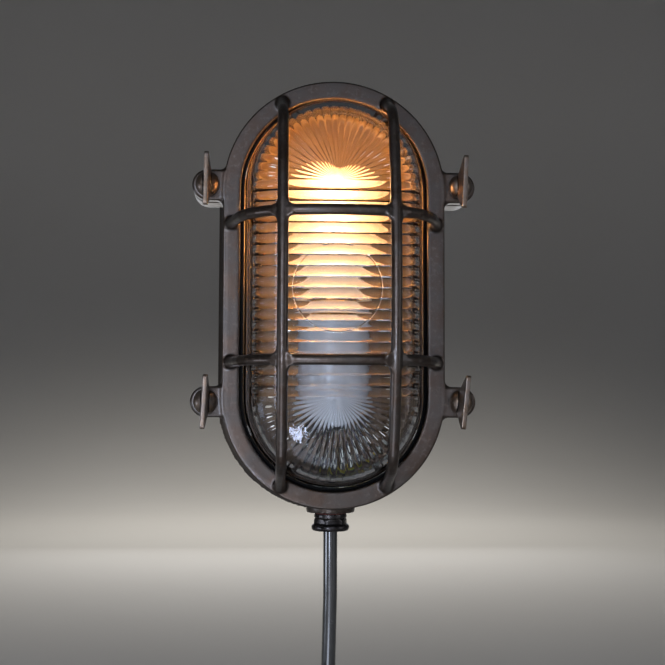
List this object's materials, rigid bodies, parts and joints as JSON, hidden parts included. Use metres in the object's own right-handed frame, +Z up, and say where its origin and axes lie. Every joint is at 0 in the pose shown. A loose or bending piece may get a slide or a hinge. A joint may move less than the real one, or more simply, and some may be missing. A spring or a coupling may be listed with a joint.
{
  "type": "bulkhead light",
  "caption": "Oval cast bulkhead light with a caged frame, ribbed glass dome, porcelain lampholder, wing thumbscrews and a cable gland with its flex below.",
  "frame": {"origin": "middle of the wall face of the back box", "axes": "+X to the right seen from the front, -Y out of the wall towards the viewer, +Z up"},
  "size_m": [0.1632, 0.0999, 0.4263],
  "materials": {
    "cast_bronze": "dark weathered cast bronze, rubbed brighter on its edges",
    "screw_bronze": "turned and cast bronze, a little brighter than the castings",
    "gland_metal": "dark plated brass",
    "clear_glass": "clear pressed glass with prism ribs inside",
    "lamp_glass": "lit lamp, warm white",
    "porcelain": "white glazed porcelain",
    "black_rubber": "black rubber",
    "bright_brass": "bare brass",
    "plated_steel": "zinc plated steel",
    "block_plastic": "black moulded phenolic",
    "brown_core": "brown core insulation",
    "blue_core": "blue core insulation",
    "earth_core": "green and yellow core insulation",
    "grey_sheath": "smooth grey sheath",
    "tie_plastic": "black hook and loop strap",
    "fibre": "red fibre sealing washer"
  },
  "bodies": {
    "housing": {"back_box": "cast_bronze", "body_gasket": "black_rubber", "lampholder_body": "porcelain", "lampholder_sleeve": "bright_brass", "lampholder_contact": "bright_brass", "bulb": "lamp_glass", "holder_bracket": "plated_steel", "bracket_screws": "plated_steel", "holder_screws": "plated_steel", "terminal_block": "block_plastic", "terminal_inserts": "bright_brass", "terminal_screws": "plated_steel", "terminal_fixing": "plated_steel", "earth_tag": "plated_steel", "earth_screw": "plated_steel", "core_live": "brown_core", "core_neutral": "blue_core", "core_earth": "earth_core", "lamp_lead_live": "brown_core", "lamp_lead_neutral": "blue_core", "gland_body": "gland_metal", "gland_seal": "black_rubber", "gland_washer": "fibre", "gland_nut": "gland_metal", "flex_lead": "grey_sheath", "flex_coil": "grey_sheath", "coil_tie": "tie_plastic", "tail_live": "brown_core", "tail_neutral": "blue_core", "tail_earth": "earth_core"},
    "cover": {"front_frame": "cast_bronze", "glass": "clear_glass", "glass_gasket": "black_rubber"},
    "washer_ul": {"captive_washer_ul": "screw_bronze"},
    "screw_ul": {"thumbscrew_ul": "screw_bronze"},
    "washer_ur": {"captive_washer_ur": "screw_bronze"},
    "screw_ur": {"thumbscrew_ur": "screw_bronze"},
    "washer_ll": {"captive_washer_ll": "screw_bronze"},
    "screw_ll": {"thumbscrew_ll": "screw_bronze"},
    "washer_lr": {"captive_washer_lr": "screw_bronze"},
    "screw_lr": {"thumbscrew_lr": "screw_bronze"}
  },
  "joints": [
    {"name": "cover_lift", "type": "slide", "parent": "housing", "child": "cover", "axis": [0, -1, 0], "range_m": [0, 0.08]},
    {"name": "screw_travel_ul", "type": "slide", "parent": "cover", "child": "washer_ul", "axis": [0, -1, 0], "range_m": [0, 0.0121]},
    {"name": "screw_turn_ul", "type": "hinge", "parent": "washer_ul", "child": "screw_ul", "pos_m": [-0.0697, -0.0471, 0.0595], "axis": [0, -1, 0], "range_deg": [0, 4320]},
    {"name": "screw_travel_ur", "type": "slide", "parent": "cover", "child": "washer_ur", "axis": [0, -1, 0], "range_m": [0, 0.0121]},
    {"name": "screw_turn_ur", "type": "hinge", "parent": "washer_ur", "child": "screw_ur", "pos_m": [0.0697, -0.0471, 0.0595], "axis": [0, -1, 0], "range_deg": [0, 4320]},
    {"name": "screw_travel_ll", "type": "slide", "parent": "cover", "child": "washer_ll", "axis": [0, -1, 0], "range_m": [0, 0.0121]},
    {"name": "screw_turn_ll", "type": "hinge", "parent": "washer_ll", "child": "screw_ll", "pos_m": [-0.0697, -0.0471, -0.0595], "axis": [0, -1, 0], "range_deg": [0, 4320]},
    {"name": "screw_travel_lr", "type": "slide", "parent": "cover", "child": "washer_lr", "axis": [0, -1, 0], "range_m": [0, 0.0121]},
    {"name": "screw_turn_lr", "type": "hinge", "parent": "washer_lr", "child": "screw_lr", "pos_m": [0.0697, -0.0471, -0.0595], "axis": [0, -1, 0], "range_deg": [0, 4320]}
  ],
  "couplings": [
    {"joint": "screw_travel_ul", "follows": "screw_turn_ul", "m_per_rad": 0.00015915},
    {"joint": "screw_travel_ur", "follows": "screw_turn_ur", "m_per_rad": 0.00015915},
    {"joint": "screw_travel_ll", "follows": "screw_turn_ll", "m_per_rad": 0.00015915},
    {"joint": "screw_travel_lr", "follows": "screw_turn_lr", "m_per_rad": 0.00015915}
  ]
}
